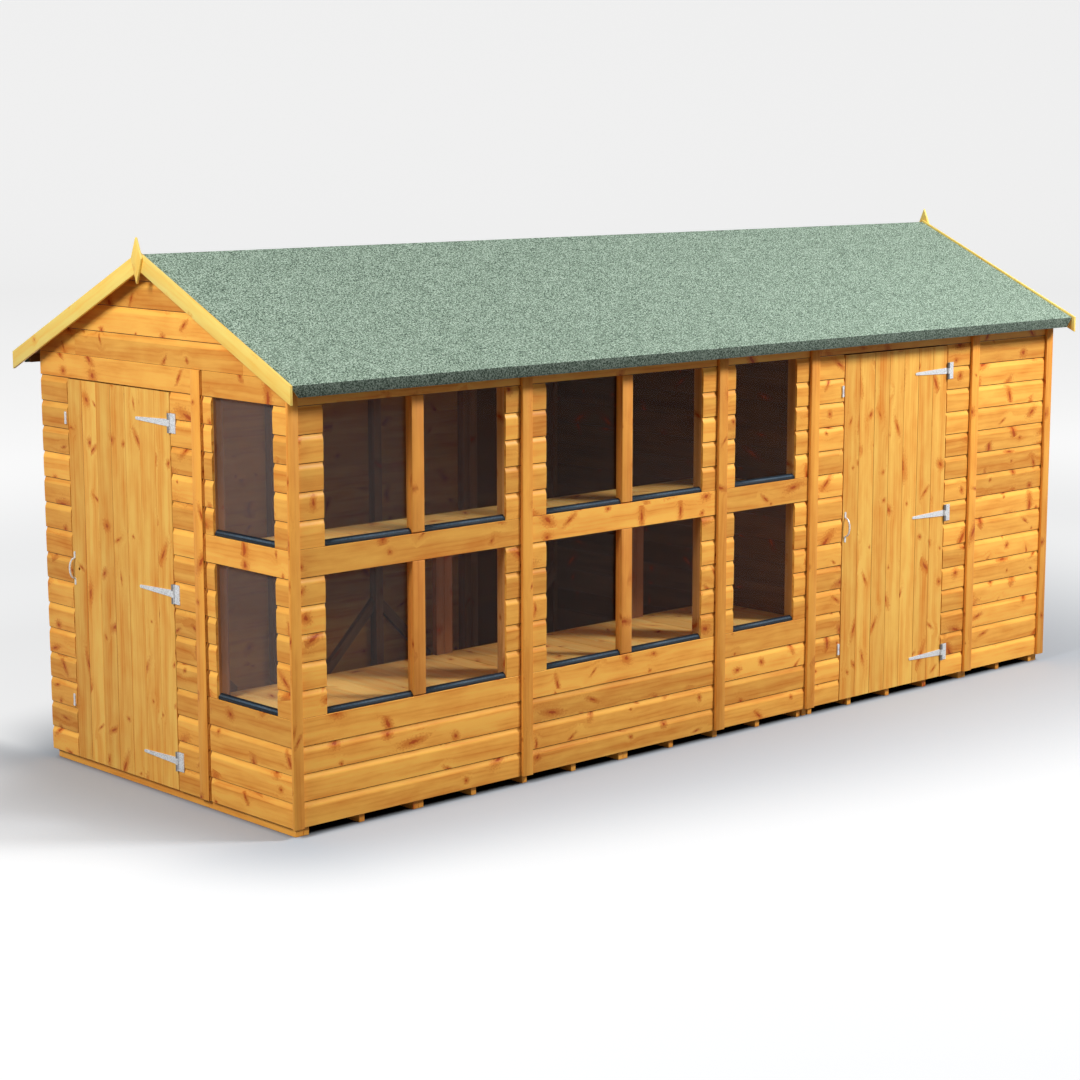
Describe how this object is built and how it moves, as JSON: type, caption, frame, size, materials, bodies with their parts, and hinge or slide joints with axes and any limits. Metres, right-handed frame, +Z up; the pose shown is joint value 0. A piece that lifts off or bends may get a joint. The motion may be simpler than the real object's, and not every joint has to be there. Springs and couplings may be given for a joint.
{
  "type": "garden potting shed",
  "caption": "Long apex timber potting shed with two glazed tiers along the front, green felt roof, a ledged door in the gable and another in the front.",
  "frame": {"origin": "on the ground, under the middle of the building", "axes": "+X along the long front to the right as seen from outside, +Y from the front to the rear, +Z up"},
  "size_m": [4.942, 1.972, 2.29],
  "materials": {
    "pine": "satin",
    "pine_door": "satin",
    "pine_trim": "satin",
    "pine_plain": "matte",
    "pine_frame": "matte",
    "felt": "matte",
    "glass": "gloss",
    "sill": "satin",
    "zinc": "satin"
  },
  "bodies": {
    "shed": {"floor_joists": "pine", "floor_boards": "pine_plain", "front_window_panel_1": "pine", "front_window_panel_2": "pine", "front_window_panel_3": "pine", "front_door_side_left": "pine", "front_door_side_right": "pine", "front_door_header": "pine", "front_plain_panel": "pine", "front_frame": "pine_frame", "rear_panels": "pine", "rear_frame": "pine_frame", "left_door_side_rear": "pine", "left_door_side_front": "pine", "left_door_header": "pine", "left_window_panel": "pine", "left_gable_top": "pine", "left_frame": "pine_frame", "right_panels": "pine", "right_gable_top": "pine", "right_frame": "pine_frame", "partition": "pine_frame", "corner_trims": "pine_trim", "cover_strips": "pine_trim", "window_mullions": "pine_trim", "window_sills": "sill", "window_glass": "glass", "potting_shelves": "pine_plain", "shelf_legs": "pine_plain", "roof_boards_front": "pine_plain", "roof_boards_rear": "pine_plain", "roof_felt_front": "felt", "roof_felt_rear": "felt", "eave_fascias": "pine_frame", "roof_purlins": "pine_frame", "bargeboards": "pine_trim", "finials": "pine_trim", "hinge_plates": "zinc", "turn_buttons": "zinc"},
    "left_door": {"left_door_leaf": "pine_door", "left_door_ledges": "pine_door", "left_door_ironwork": "zinc"},
    "front_door": {"front_door_leaf": "pine_door", "front_door_ledges": "pine_door", "front_door_ironwork": "zinc"}
  },
  "joints": [
    {"name": "left_door_hinge", "type": "hinge", "parent": "shed", "child": "left_door", "pos_m": [-2.4068, -0.09251, 0], "axis": [0, 0, 1], "range_deg": [0, 150]},
    {"name": "front_door_hinge", "type": "hinge", "parent": "shed", "child": "front_door", "pos_m": [1.56849, -0.8818, 0], "axis": [0, 0, 1], "range_deg": [0, 150]}
  ]
}
